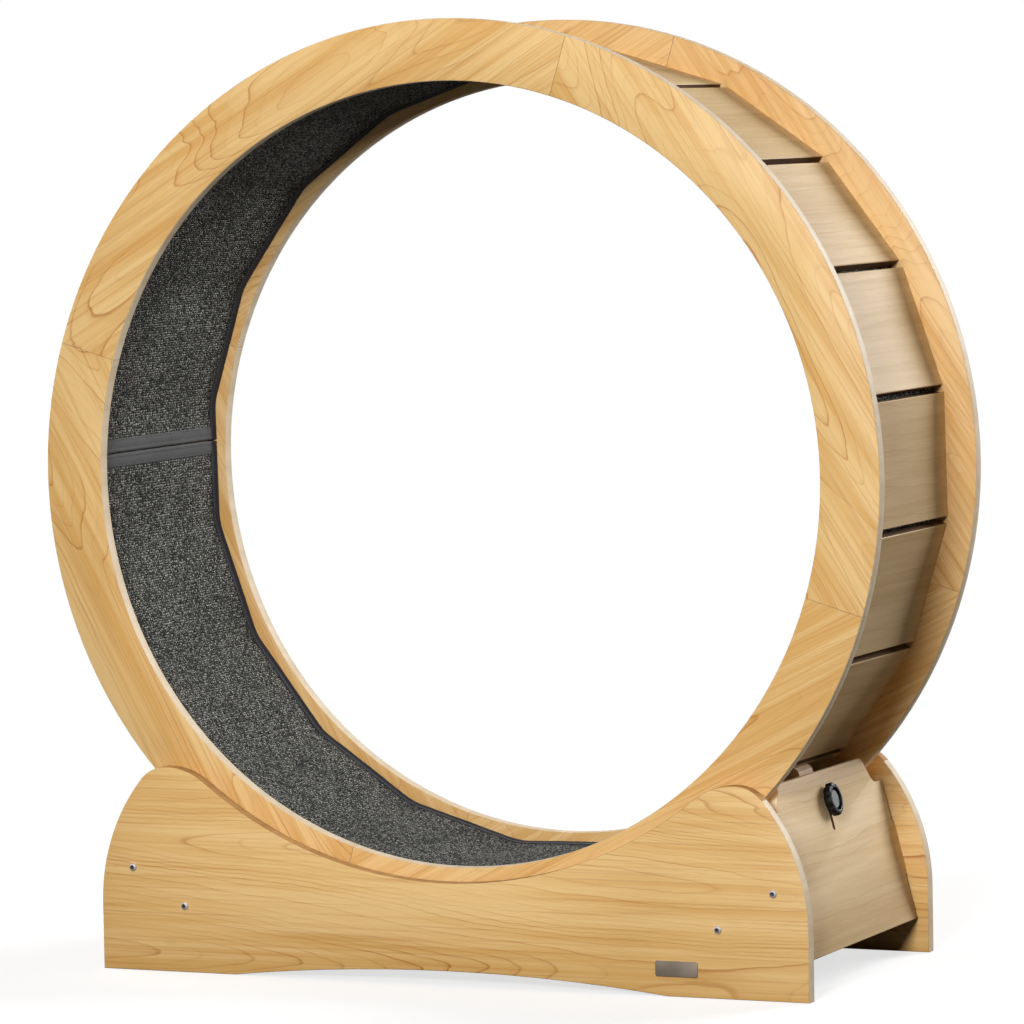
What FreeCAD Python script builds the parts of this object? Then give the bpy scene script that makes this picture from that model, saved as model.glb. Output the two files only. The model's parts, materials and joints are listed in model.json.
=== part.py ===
# Cat exercise wheel: a slatted wooden running wheel with a carpet track, carried on
# four flanged rollers in a low base of two side plates and two slanted end boards.
# Millimetres. X runs along the base, Y along the wheel's axle line, Z up from the
# floor. The origin is on the floor, under the middle of the wheel. Angles round the
# wheel are counted from +X towards +Z.
import FreeCAD
import Part
import math
import os
from FreeCAD import Vector

# ---- driving dimensions: wheel ----
wheel_radius = 500.0  # outer rim of the rings
wheel_width = 328.0  # over the outer faces of the two rings
board = 16.0  # thickness of rings, side plates, end boards and brake block
floor_gap = 57.6  # from the floor to the lowest point of the rims
ring_depth = 68.0  # radial width of a ring
quarters = 4  # segments in each ring
first_joint = 73.0  # angle of the first joint between two segments
joint_gap = 0.5  # glue line between two segments
slat_count = 20
slat_inset = 30.0  # rim to the outer corners of the slats
slat_thickness = 12.0
slat_gap = 9.0  # between two slats
slat_tongue = 8.0  # how far a slat end sits in its ring
groove_clearance = 0.15  # round a slat end
slat_chamfer = 0.8
carpet_thickness = 8.0
carpet_side_gap = 0.5  # from the carpet's edge to a ring
seam_angle = 178.5  # where the two ends of the runner meet
seam_gap = 1.0
binding_width = 15.0
binding_thickness = 1.0
dowel_diameter = 8.0
dowel_length = 40.0
dowel_clearance = 0.1
prism_sides = 8  # dowels, bolts, barrel nuts and their holes

# ---- driving dimensions: base ----
ring_plate_gap = 17.6  # from a ring's outer face to a side plate
foot_length = 164.0  # flat foot at each end of a side plate
foot_arch = 15.4  # rise of the arch between the feet
rim_cover = 55.2  # how far the plate rises over the rim's lowest point
cradle_inset = 22.0  # cradle arc is this much smaller than the rim
horn_rise = 35.3  # top of a horn over the end board's shoulders
horn_outer_radius = 42.0
horn_inner_radius = 75.0
plate_end_radius = 218.0
plate_end_margin = 11.8  # plate end beyond the foot of the end board

# ---- driving dimensions: end boards ----
board_tilt = 14.5  # lean of the end boards towards the wheel
shoulder_angle = 44.2  # below the horizontal through the wheel's centre
shoulder_clearance = 19.7  # rim to the shoulder line of an end board
neck_height = 30.9  # part of the board that stands between the rings
board_drop = 161.0  # from the shoulders to the lower edge
neck_root = 1.0  # sides of the neck past the rings' inner faces, at the shoulders
neck_taper = 19.7  # how much each side of the neck draws in at the top
neck_root_radius = 18.0
neck_top_radius = 14.0
board_end_gap = 3.5  # from a board's end to the side plate, off its tab
tab_length = 61.0
tab_drop = 79.5  # from the shoulders to the middle of the tab
tab_depth = 8.0  # into the side plate
tab_clearance = 0.1

# ---- driving dimensions: roller boards and rollers ----
roller_angle = 33.6  # from straight down, seen from the wheel's centre
tread_radius = 30.0
flange_height = 5.0  # over the tread
flange_thickness = 4.0
flange_clearance = 0.5  # flange to ring face
tread_clearance = 0.3  # tread to rim
flange_foot_gap = 3.8  # flange to the bracket's foot
roller_board_width = 92.0
roller_tab_length = 56.0
axle_diameter = 7.9
bearing_bore = 8.0
bearing_diameter = 22.0
bearing_width = 7.0
bearing_proud = 0.5  # bearing past the roller's side
bearing_clearance = 0.3  # bearing to the bracket's cheek
sheet = 2.5  # sheet steel of the roller brackets
bracket_length = 76.0
cheek_foot = 44.0
cheek_radius = 11.0
axle_clearance = 0.1  # round an axle bolt in the cheeks
hexagon_radius = 7.0  # corners of the axle bolt heads and of the brake bolt head
axle_head = 4.0
screw_head_radius = 4.0
screw_head = 2.4
screw_radius = 2.0
screw_clearance = 0.1
screw_length = 12.0
screw_edge = 7.0  # screws from the ends of a bracket

# ---- driving dimensions: joining bolts ----
bolt_radius = 3.0
bolt_tip = 2.0  # bolt past its barrel nut
bolt_hole_clearance = 0.2
bolt_head_radius = 5.2
bolt_head = 3.3
nut_radius = 5.0
nut_recess = 2.0  # nut's end below the board's face
nut_inset = 24.0  # board end to the cross nut

# ---- driving dimensions: brake ----
block_width = 42.0
block_tail = 32.0  # block below the brake bolt
bolt_to_nose = 36.5  # brake bolt to the centre of the rounded nose
nose_clearance = 0.5  # nose to the circle that the slats sweep
brake_travel = 30.0
slot_reserve = 3.0  # slot above the bolt when the brake is on
slot_clearance = 0.2
washer_radius = 9.0
washer_thickness = 1.2
knob_radius = 18.5
knob_boss_radius = 10.0
knob_boss = 2.2
knob_thickness = 8.6
knob_lobes = 8
lobe_cut_radius = 4.2
lobe_cut_offset = 2.3  # centre of each scallop outside the knob's rim
cap_radius = 14.5
cap_depth = 1.6  # recess for the cap
cap_thickness = 1.9
cap_clearance = 0.15
thread_clearance = 0.05
thread_engagement = 9.0
thread_spare = 0.5  # bolt's end to the bottom of the knob's bore
brake_bolt_head = 4.0

# ---- driving dimensions: name plate ----
plate_width = 49.5
plate_height = 17.2
plate_thickness = 1.2
plate_corner = 2.5
plate_from_end = 152.5  # middle of the name plate to the side plate's end
plate_from_floor = 30.2

# ---- derived places ----
centre_z = floor_gap + wheel_radius
wheel_centre = Vector(0, 0, centre_z)
ring_out_y = wheel_width / 2
ring_in_y = ring_out_y - board
ring_mid_y = ring_out_y - board / 2
slat_pitch = 360.0 / slat_count
slat_corner_radius = wheel_radius - slat_inset
slat_face = slat_corner_radius * math.cos(math.radians(slat_pitch / 2))
slat_width = 2 * slat_corner_radius * math.sin(math.radians(slat_pitch / 2)) - slat_gap
slat_back = slat_face - slat_thickness
# rim to the two dowels of each joint: halfway to the slats, and halfway past them
dowel_insets = (slat_inset / 2, (wheel_radius - slat_back + ring_depth) / 2)
track_face = slat_back - carpet_thickness
plate_in_y = ring_out_y + ring_plate_gap
plate_out_y = plate_in_y + board
board_end_y = plate_in_y - board_end_gap
shoulder_reach = wheel_radius + shoulder_clearance
shoulder_x = shoulder_reach * math.cos(math.radians(shoulder_angle))
shoulder_z = centre_z - shoulder_reach * math.sin(math.radians(shoulder_angle))
board_foot_x = shoulder_x + board_drop * math.sin(math.radians(board_tilt))
half_length = board_foot_x + plate_end_margin
flange_radius = tread_radius + flange_height
axle_height = flange_radius + flange_foot_gap + sheet
roller_reach = wheel_radius + tread_clearance + tread_radius
roller_x = roller_reach * math.sin(math.radians(roller_angle))
roller_z = centre_z - roller_reach * math.cos(math.radians(roller_angle))
roller_half = board / 2 + flange_clearance + flange_thickness
cheek_in = roller_half + bearing_proud + bearing_clearance
cheek_out = cheek_in + sheet
screw_spread = bracket_length / 2 - screw_edge
nut_length = board - nut_recess
nut_y = board_end_y - nut_inset
bolt_end_y = nut_y - nut_radius - bolt_tip

along_x = Vector(1, 0, 0)
along_y = Vector(0, 1, 0)
upward = Vector(0, 0, 1)
turn_axis = Vector(0, -1, 0)
origin = Vector(0, 0, 0)


def save(name, *solids):
    """One STEP file for a node, from one solid or a group of like solids."""
    shape = solids[0] if len(solids) == 1 else Part.makeCompound(list(solids))
    shape.exportStep("parts/" + name + ".step")


def placed(shape, tilt, x, z):
    """Lean a shape made round the origin towards the wheel, then move it to x, z."""
    out = shape.copy()
    out.rotate(origin, turn_axis, tilt)
    out.translate(Vector(x, 0, z))
    return out


def on_wheel(shape, angle):
    """Turn a shape made at the +X side of the wheel to its angle round the wheel."""
    out = shape.copy()
    out.rotate(wheel_centre, turn_axis, angle)
    return out


def shifted(shape, x, y, z):
    out = shape.copy()
    out.translate(Vector(x, y, z))
    return out


def mirrored_x(shape):
    return shape.mirror(origin, along_x)


def mirrored_y(shape):
    return shape.mirror(origin, along_y)


def box(x0, x1, y0, y1, z0, z1):
    return Part.makeBox(x1 - x0, y1 - y0, z1 - z0, Vector(x0, y0, z0))


def rod(radius, start, direction, length):
    return Part.makeCylinder(radius, length, start, direction)


def prism(radius, sides, start, direction, length):
    """Straight prism on a regular polygon whose sides lie at the radius given."""
    corner = radius / math.cos(math.pi / sides)
    half = math.pi / sides
    points = [Vector(corner * math.cos(half * (2 * i + 1)), corner * math.sin(half * (2 * i + 1)), 0)
              for i in range(sides)]
    shape = polygon_face(points).extrude(Vector(0, 0, length))
    shape.Placement = FreeCAD.Placement(start, FreeCAD.Rotation(Vector(0, 0, 1), direction))
    return shape


def polar(centre, radius, degrees):
    """Point of the XZ plane at a radius and angle from a centre given as (x, z)."""
    a = math.radians(degrees)
    return Vector(centre[0] + radius * math.cos(a), 0, centre[1] + radius * math.sin(a))


def polygon_face(points):
    return Part.Face(Part.makePolygon(points + [points[0]]))


def rounded_face(corners, to_space):
    """Face through (u, v, radius) corners, each rounded by an arc tangent to its sides."""
    edges = []
    ends = []
    count = len(corners)
    for i, (u, v, radius) in enumerate(corners):
        here = Vector(u, v, 0)
        back = Vector(*corners[i - 1][:2], 0) - here
        ahead = Vector(*corners[(i + 1) % count][:2], 0) - here
        back.normalize()
        ahead.normalize()
        half = back.getAngle(ahead) / 2
        reach = radius / math.tan(half)
        bisector = (back + ahead).normalize()
        middle = here + bisector * (radius / math.sin(half) - radius)
        ends.append((here + back * reach, middle, here + ahead * reach, radius))
    for i, (start, middle, end, radius) in enumerate(ends):
        if radius > 0:
            edges.append(Part.Arc(to_space(start), to_space(middle), to_space(end)).toShape())
        following = ends[(i + 1) % count][0]
        if end.distanceToPoint(following) > 1e-6:
            edges.append(Part.LineSegment(to_space(end), to_space(following)).toShape())
    return Part.Face(Part.Wire(edges))


# ---------------------------------------------------------------- wheel

def slat():
    """A slat at angle 0: flat plank along Y with eased long edges."""
    half = slat_width / 2
    cut = slat_chamfer
    reach = ring_in_y + slat_tongue
    section = [(slat_back, cut - half), (slat_back + cut, -half), (slat_face - cut, -half),
               (slat_face, cut - half), (slat_face, half - cut), (slat_face - cut, half),
               (slat_back + cut, half), (slat_back, half - cut)]
    points = [Vector(x, -reach, centre_z + z) for x, z in section]
    return polygon_face(points).extrude(Vector(0, 2 * reach, 0))


def slat_groove():
    """Room for the two ends of the slat at angle 0."""
    half = slat_width / 2 + groove_clearance
    reach = ring_in_y + slat_tongue + groove_clearance
    return box(slat_back - groove_clearance, slat_face + groove_clearance, -reach, reach,
               centre_z - half, centre_z + half)


def ring_quarter():
    """Front segment from angle 0 to one quarter, with no grooves yet."""
    inner = wheel_radius - ring_depth
    section = [(inner, -ring_out_y), (wheel_radius, -ring_out_y), (wheel_radius, -ring_in_y),
               (inner, -ring_in_y)]
    face = polygon_face([Vector(x, y, centre_z) for x, y in section])
    gap_angle = math.degrees(joint_gap / wheel_radius)
    face.rotate(wheel_centre, turn_axis, gap_angle / 2)
    return face.revolve(wheel_centre, turn_axis, 360.0 / quarters - gap_angle)


def joint_dowels(clearance):
    """The two front dowels of the joint at angle 0, across the joint."""
    dowels = []
    for inset in dowel_insets:
        half = dowel_length / 2 + clearance
        start = Vector(wheel_radius - inset, -ring_mid_y, centre_z - half)
        dowels.append(prism(dowel_diameter / 2 + clearance, prism_sides, start, upward, 2 * half))
    return dowels


def build_rings_and_slats():
    plank = slat()
    groove = slat_groove()
    quarter = ring_quarter()
    quarter_angle = 360.0 / quarters
    slats = [on_wheel(plank, first_joint + slat_pitch * i) for i in range(slat_count)]
    grooves = [on_wheel(groove, first_joint + slat_pitch * i) for i in range(slat_count)]
    dowels = []
    holes = []
    for i in range(quarters):
        angle = first_joint + quarter_angle * i
        dowels += [on_wheel(d, angle) for d in joint_dowels(0)]
        holes += [on_wheel(d, angle) for d in joint_dowels(dowel_clearance)]
    for i in range(quarters):
        start = first_joint + quarter_angle * i
        segment = on_wheel(quarter, start).cut(grooves).cut(holes)
        save("front_ring_segment_%d" % (i + 1), segment.Solids[0])
        save("rear_ring_segment_%d" % (i + 1), mirrored_y(segment.Solids[0]))
    for i, piece in enumerate(slats):
        save("slat_%02d" % (i + 1), piece)
    save("ring_dowels", *(dowels + [mirrored_y(d) for d in dowels]))


def track_band(outer, inner, y0, y1):
    """Band of flats that follows the slats, open at the seam."""
    rings = []
    for apothem in (outer, inner):
        corner = apothem / math.cos(math.radians(slat_pitch / 2))
        points = []
        for i in range(slat_count):
            angle = first_joint + slat_pitch * (i + 0.5)
            p = polar((0, centre_z), corner, angle)
            points.append(Vector(p.x, y0, p.z))
        rings.append(polygon_face(points))
    band = rings[0].extrude(Vector(0, y1 - y0, 0)).cut(rings[1].extrude(Vector(0, y1 - y0, 0)))
    slit = box(inner - slat_thickness, outer + slat_thickness, y0 - 1, y1 + 1,
               centre_z - seam_gap / 2, centre_z + seam_gap / 2)
    return band.cut(on_wheel(slit, seam_angle)).Solids[0]


def build_carpet():
    side = ring_in_y - carpet_side_gap
    inside = side - binding_width
    bound_face = track_face - binding_thickness
    save("carpet_runner", track_band(slat_back, track_face, -side, side))
    front = track_band(track_face, bound_face, -side, -inside)
    seam_slat = round((seam_angle - first_joint) / slat_pitch)
    slat_angle = first_joint + slat_pitch * seam_slat
    offset = slat_back * math.tan(math.radians(seam_angle - slat_angle))
    tapes = [front, mirrored_y(front)]
    for sign in (-1, 1):
        near = offset + sign * seam_gap / 2
        far = near + sign * binding_width
        tape = box(bound_face, track_face, -inside, inside,
                   centre_z + min(near, far), centre_z + max(near, far))
        tapes.append(on_wheel(tape, slat_angle))
    save("carpet_bindings", *tapes)


# ---------------------------------------------------------------- base

def side_plate_face():
    """Outline of a side plate on the XZ plane: feet, arch, rounded horns and cradle."""
    cradle_radius = wheel_radius - cradle_inset
    cradle_low = floor_gap + rim_cover
    cradle = (0, cradle_low + cradle_radius)
    horn_top = shoulder_z + horn_rise
    inner_z = horn_top - horn_inner_radius
    drop = cradle[1] - inner_z
    horn_x = math.sqrt((cradle_radius + horn_inner_radius) ** 2 - drop ** 2)
    tip = (horn_x, horn_top - horn_outer_radius)
    end_x = half_length - plate_end_radius
    spread = horn_x - end_x
    end_z = tip[1] - math.sqrt((plate_end_radius - horn_outer_radius) ** 2 - spread ** 2)
    end_angle = math.degrees(math.atan2(tip[1] - end_z, spread))
    cradle_angle = math.degrees(math.atan2(inner_z - cradle[1], horn_x))
    foot_x = half_length - foot_length

    toe = Vector(half_length, 0, 0)
    end_start = Vector(half_length, 0, end_z)
    end_middle = polar((end_x, end_z), plate_end_radius, end_angle / 2)
    end_finish = polar((end_x, end_z), plate_end_radius, end_angle)
    tip_middle = polar(tip, horn_outer_radius, (end_angle + 90) / 2)
    top = Vector(horn_x, 0, horn_top)
    # the inner horn arc ends where it meets the cradle arc head on
    inner_finish = polar((horn_x, inner_z), horn_inner_radius, cradle_angle + 180)
    inner_middle = polar((horn_x, inner_z), horn_inner_radius, (90 + cradle_angle + 180) / 2)
    low = Vector(0, 0, cradle_low)
    heel = Vector(foot_x, 0, 0)

    def flip(point):
        return Vector(-point.x, 0, point.z)

    def side(mark):
        return [Part.LineSegment(mark(heel), mark(toe)).toShape(),
                Part.LineSegment(mark(toe), mark(end_start)).toShape(),
                Part.Arc(mark(end_start), mark(end_middle), mark(end_finish)).toShape(),
                Part.Arc(mark(end_finish), mark(tip_middle), mark(top)).toShape(),
                Part.Arc(mark(top), mark(inner_middle), mark(inner_finish)).toShape()]

    edges = side(Vector) + side(flip)
    edges.append(Part.Arc(inner_finish, low, flip(inner_finish)).toShape())
    edges.append(Part.Arc(heel, Vector(0, 0, foot_arch), flip(heel)).toShape())
    return Part.Face(Part.Wire(Part.__sortEdges__(edges)))


def tab_block(length, spare):
    """Tab of a cross board, centred on the origin: thick along X, long along Z, to +Y."""
    half = board / 2 + spare
    return box(-half, half, board_end_y - board, plate_in_y + tab_depth + spare,
               -length / 2 - spare, length / 2 + spare)


def cross_board_joints():
    """Tilt, x, z, tab length and open side of the nut holes, of both kinds of cross board."""
    tilt = math.radians(board_tilt)
    end_x = shoulder_x + tab_drop * math.sin(tilt) - board / 2 * math.cos(tilt)
    end_z = shoulder_z - tab_drop * math.cos(tilt) - board / 2 * math.sin(tilt)
    reach = roller_reach + axle_height + board / 2
    lean = math.radians(roller_angle)
    carrier_x = reach * math.sin(lean)
    carrier_z = centre_z - reach * math.cos(lean)
    return [(board_tilt, end_x, end_z, tab_length, -1),
            (roller_angle - 90, carrier_x, carrier_z, roller_tab_length, 1)]


def build_side_plates():
    plate = side_plate_face().extrude(Vector(0, board, 0))
    plate.translate(Vector(0, plate_in_y, 0))
    for tilt, x, z, length, _ in cross_board_joints():
        mortise = placed(tab_block(length, tab_clearance), tilt, x, z)
        hole = shifted(joining_bolt(bolt_hole_clearance), x, 0, z)
        plate = plate.cut([mortise, mirrored_x(mortise), hole, mirrored_x(hole)])
    save("rear_side_plate", plate.Solids[0])
    save("front_side_plate", mirrored_y(plate.Solids[0]))


def joining_bolt(clearance):
    """Round-head bolt along -Y at x = z = 0, its head on the rear plate's outer face."""
    end = bolt_end_y - clearance
    shank = prism(bolt_radius + clearance, prism_sides, Vector(0, end, 0), along_y,
                  plate_out_y + clearance - end)
    if clearance:
        return shank
    head = prism(bolt_head_radius, 2 * prism_sides, Vector(0, plate_out_y, 0), along_y, bolt_head)
    return shank.fuse(head).removeSplitter().Solids[0]


def cross_nut(clearance, side):
    """Barrel nut across a cross board, centred on the origin at the +Y end."""
    start = Vector(side * board / 2, nut_y, 0)
    return prism(nut_radius + clearance, prism_sides, start, along_x * -side, nut_length + clearance)


def build_fasteners():
    bolts = []
    nuts = []
    for tilt, x, z, _, nut_side in cross_board_joints():
        bolt = shifted(joining_bolt(0), x, 0, z)
        nut = placed(cross_nut(0, nut_side), tilt, x, z).cut(bolt).Solids[0]
        for turn in (lambda s: s, mirrored_x, mirrored_y, lambda s: mirrored_x(mirrored_y(s))):
            bolts.append(turn(bolt))
            nuts.append(turn(nut))
    save("joining_bolts", *bolts)
    save("barrel_nuts", *nuts)


def with_bores(shape, tilt, x, z, nut_side):
    """Bore a cross board for its two joining bolts and barrel nuts."""
    bolt = shifted(joining_bolt(bolt_hole_clearance), x, 0, z)
    nut = placed(cross_nut(bolt_hole_clearance, nut_side), tilt, x, z)
    return shape.cut([bolt, nut, mirrored_y(bolt), mirrored_y(nut)])


def end_board():
    """Slanted end board in its own frame: X out of its outer face, Z up its slope."""
    root = ring_in_y + neck_root
    top = root - neck_taper
    half = [(board_end_y, -board_drop, 0), (board_end_y, 0, 0),
            (root, 0, neck_root_radius), (top, neck_height, neck_top_radius)]
    corners = half + [(-y, z, radius) for y, z, radius in reversed(half)]
    body = rounded_face(corners, lambda p: Vector(-board, p.x, p.y)).extrude(Vector(board, 0, 0))
    tab = shifted(tab_block(tab_length, 0), -board / 2, 0, -tab_drop)
    return body.fuse([tab, mirrored_y(tab)]).removeSplitter()


def brake_place():
    """Height of the nose centre and of the brake bolt, up the slope of the end board."""
    tilt = math.radians(board_tilt)
    depth = 1.5 * board
    x0 = shoulder_x - depth * math.cos(tilt)
    z0 = shoulder_z - depth * math.sin(tilt) - centre_z
    target = slat_corner_radius + nose_clearance + board / 2
    # distance from the wheel's centre to a point that climbs the slope
    b = -x0 * math.sin(tilt) + z0 * math.cos(tilt)
    c = x0 ** 2 + z0 ** 2 - target ** 2
    nose = -b - math.sqrt(b ** 2 - c)
    return nose, nose - bolt_to_nose


def brake_slot(bolt_up):
    """Slot of the brake end board, in the board's frame."""
    radius = bolt_radius + slot_clearance
    high = bolt_up + slot_reserve
    low = bolt_up - brake_travel
    cut = box(-board - 1, 1, -radius, radius, low, high)
    ends = [rod(radius, Vector(-board - 1, 0, z), along_x, board + 2) for z in (low, high)]
    return cut.fuse(ends)


def build_end_boards():
    blank = end_board()
    nose_up, bolt_up = brake_place()
    slotted = placed(blank.cut(brake_slot(bolt_up)), board_tilt, shoulder_x, shoulder_z)
    plain = placed(blank, board_tilt, shoulder_x, shoulder_z)
    tilt, x, z, _, nut_side = cross_board_joints()[0]
    save("brake_end_board", with_bores(slotted, tilt, x, z, nut_side).Solids[0])
    save("plain_end_board", mirrored_x(with_bores(plain, tilt, x, z, nut_side).Solids[0]))


def bracket_screw(clearance):
    """Pan-head screw through a bracket's foot into the roller board, at local x = 0."""
    top = sheet - axle_height
    shank = prism(screw_radius + clearance, prism_sides, Vector(0, 0, top - screw_length), upward,
                  screw_length)
    if clearance:
        return shank
    head = prism(screw_head_radius, prism_sides, Vector(0, 0, top), upward, screw_head)
    return shank.fuse(head).removeSplitter().Solids[0]


def screw_pair(clearance):
    """The two screws of a bracket, in the axle's frame."""
    return [shifted(bracket_screw(clearance), x, 0, 0) for x in (-screw_spread, screw_spread)]


def on_roller(shape, side_y):
    """Move a shape from the axle's frame to the right-hand roller of one ring."""
    return placed(shifted(shape, 0, side_y * ring_mid_y, 0), roller_angle, roller_x, roller_z)


def build_roller_boards():
    tilt, x, z, length, nut_side = cross_board_joints()[1]
    half = roller_board_width / 2
    body = box(-board / 2, board / 2, -board_end_y, board_end_y, -half, half)
    tab = tab_block(length, 0)
    solid = placed(body.fuse([tab, mirrored_y(tab)]).removeSplitter(), tilt, x, z)
    solid = with_bores(solid, tilt, x, z, nut_side)
    for side_y in (-1, 1):
        solid = solid.cut([on_roller(pilot, side_y) for pilot in screw_pair(screw_clearance)])
    save("right_roller_board", solid.Solids[0])
    save("left_roller_board", mirrored_x(solid.Solids[0]))


def roller():
    """Flanged roller about the Y axis, with a straight bore for its two bearings."""
    groove = board / 2 + flange_clearance
    fit = bearing_diameter / 2
    half = [(fit, 0), (fit, roller_half), (flange_radius, roller_half), (flange_radius, groove),
            (tread_radius, groove), (tread_radius, 0)]
    solid = polygon_face([Vector(x, y, 0) for x, y in half]).revolve(origin, along_y, 360)
    return solid.fuse(mirrored_y(solid)).removeSplitter().Solids[0]


def bearing():
    """Ball bearing in the +Y end of a roller, drawn as one ring."""
    start = Vector(0, roller_half + bearing_proud - bearing_width, 0)
    ring = rod(bearing_diameter / 2, start, along_y, bearing_width)
    return ring.cut(rod(bearing_bore / 2, start, along_y, bearing_width)).Solids[0]


def roller_bracket():
    """Folded steel bracket: a foot on the roller board and two cheeks up to the axle."""
    base = sheet - axle_height
    half = bracket_length / 2
    foot = box(-half, half, -cheek_out, cheek_out, -axle_height, base)
    lean = math.degrees(math.asin(cheek_radius / math.hypot(cheek_foot / 2, base)))
    lean += math.degrees(math.atan2(cheek_foot / 2, -base)) - 90
    touch = polar((0, 0), cheek_radius, -lean)
    top = Vector(0, 0, cheek_radius)
    corner = Vector(cheek_foot / 2, 0, base)
    far_touch = Vector(-touch.x, 0, touch.z)
    far_corner = Vector(-corner.x, 0, base)
    edges = [Part.LineSegment(far_corner, corner).toShape(),
             Part.LineSegment(corner, touch).toShape(),
             Part.Arc(touch, top, far_touch).toShape(),
             Part.LineSegment(far_touch, far_corner).toShape()]
    cheek = Part.Face(Part.Wire(edges)).extrude(Vector(0, sheet, 0))
    cheek.translate(Vector(0, cheek_in, 0))
    solid = foot.fuse([cheek, mirrored_y(cheek)]).removeSplitter()
    axle_hole = rod(axle_diameter / 2 + axle_clearance, Vector(0, -cheek_out, 0), along_y,
                    2 * cheek_out)
    return solid.cut([axle_hole] + screw_pair(screw_clearance)).Solids[0]


def axle_bolt():
    """Axle through both cheeks, with a six-sided head and nut outside them."""
    shank = rod(axle_diameter / 2, Vector(0, -cheek_out, 0), along_y, 2 * cheek_out)
    head = prism(hexagon_radius, 6, Vector(0, cheek_out, 0), along_y, axle_head)
    return shank.fuse([head, mirrored_y(head)]).removeSplitter().Solids[0]


def build_rollers():
    wheel = roller()
    races = [bearing(), mirrored_y(bearing())]
    bracket = roller_bracket()
    axles = []
    screws = []
    for end, turn in (("right", lambda s: s), ("left", mirrored_x)):
        for face, side_y in (("front", -1), ("rear", 1)):
            name = face + "_" + end
            save("roller_" + name, turn(on_roller(wheel, side_y)))
            save("roller_bearings_" + name, *[turn(on_roller(race, side_y)) for race in races])
            save("roller_bracket_" + name, turn(on_roller(bracket, side_y)))
            axles.append(turn(on_roller(axle_bolt(), side_y)))
            screws += [turn(on_roller(screw, side_y)) for screw in screw_pair(0)]
    save("axle_bolts", *axles)
    save("bracket_screws", *screws)


# ---------------------------------------------------------------- brake

def brake_block(nose_up, bolt_up):
    """Sliding block behind the end board, its top edge rounded to a full nose."""
    radius = board / 2
    middle = -1.5 * board
    low = bolt_up - block_tail
    face = Part.Face(Part.Wire([
        Part.LineSegment(Vector(middle + radius, 0, nose_up), Vector(middle + radius, 0, low)).toShape(),
        Part.LineSegment(Vector(middle + radius, 0, low), Vector(middle - radius, 0, low)).toShape(),
        Part.LineSegment(Vector(middle - radius, 0, low), Vector(middle - radius, 0, nose_up)).toShape(),
        Part.Arc(Vector(middle - radius, 0, nose_up), Vector(middle, 0, nose_up + radius),
                 Vector(middle + radius, 0, nose_up)).toShape()]))
    block = face.extrude(Vector(0, block_width, 0))
    block.translate(Vector(0, -block_width / 2, 0))
    bore = rod(bolt_radius + slot_clearance, Vector(-2 * board, 0, bolt_up), along_x, board)
    return block.cut(bore).Solids[0]


def knob():
    """Lobed clamping knob about the X axis, with a recess in its face for the cap."""
    rim = washer_thickness + knob_boss
    top = rim + knob_thickness
    boss = rod(knob_boss_radius, Vector(washer_thickness, 0, 0), along_x, knob_boss)
    solid = rod(knob_radius, Vector(rim, 0, 0), along_x, knob_thickness).fuse(boss)
    cuts = [rod(cap_radius, Vector(top - cap_depth, 0, 0), along_x, cap_depth)]
    cuts.append(rod(bolt_radius + thread_clearance, origin, along_x,
                    washer_thickness + thread_engagement))
    for i in range(knob_lobes):
        a = math.radians(360.0 / knob_lobes * (i + 0.5))
        reach = knob_radius + lobe_cut_offset
        start = Vector(rim, reach * math.cos(a), reach * math.sin(a))
        cuts.append(rod(lobe_cut_radius, start, along_x, knob_thickness))
    return solid.cut(cuts).removeSplitter().Solids[0]


def knob_cap():
    """Metal disc set in the knob's face."""
    low = washer_thickness + knob_boss + knob_thickness - cap_depth
    return rod(cap_radius - cap_clearance, Vector(low, 0, 0), along_x, cap_thickness)


def brake_bolt():
    """Six-sided bolt from behind the block through the slot into the knob."""
    back = -2 * board
    end = washer_thickness + thread_engagement - thread_spare
    shank = rod(bolt_radius, Vector(back, 0, 0), along_x, end - back)
    head = prism(hexagon_radius, 6, Vector(back, 0, 0), along_x * -1, brake_bolt_head)
    return shank.fuse(head).removeSplitter().Solids[0]


def washer():
    disc = rod(washer_radius, origin, along_x, washer_thickness)
    return disc.cut(rod(bolt_radius + slot_clearance, origin, along_x, washer_thickness))


def build_brake():
    nose_up, bolt_up = brake_place()

    def at_bolt(shape):
        return placed(shifted(shape, 0, 0, bolt_up), board_tilt, shoulder_x, shoulder_z)

    block = brake_block(nose_up, bolt_up)
    save("brake_block", placed(block, board_tilt, shoulder_x, shoulder_z))
    save("brake_bolt", at_bolt(brake_bolt()))
    save("brake_washer", at_bolt(washer()).Solids[0])
    save("brake_knob", at_bolt(knob()))
    save("knob_cap", at_bolt(knob_cap()))


def build_name_plate():
    """Bare rounded plate on the front side plate's outer face."""
    x = half_length - plate_from_end
    half_w = plate_width / 2
    half_h = plate_height / 2
    corners = [(x + u * half_w, plate_from_floor + v * half_h, plate_corner)
               for u, v in ((-1, -1), (1, -1), (1, 1), (-1, 1))]
    face = rounded_face(corners, lambda p: Vector(p.x, -plate_out_y, p.y))
    save("name_plate", face.extrude(Vector(0, -plate_thickness, 0)))


build_rings_and_slats()
build_carpet()
build_side_plates()
build_end_boards()
build_roller_boards()
build_rollers()
build_fasteners()
build_brake()
build_name_plate()
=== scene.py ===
import json
import math
import random

import bmesh
import bpy
from mathutils import Matrix, Vector


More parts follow.
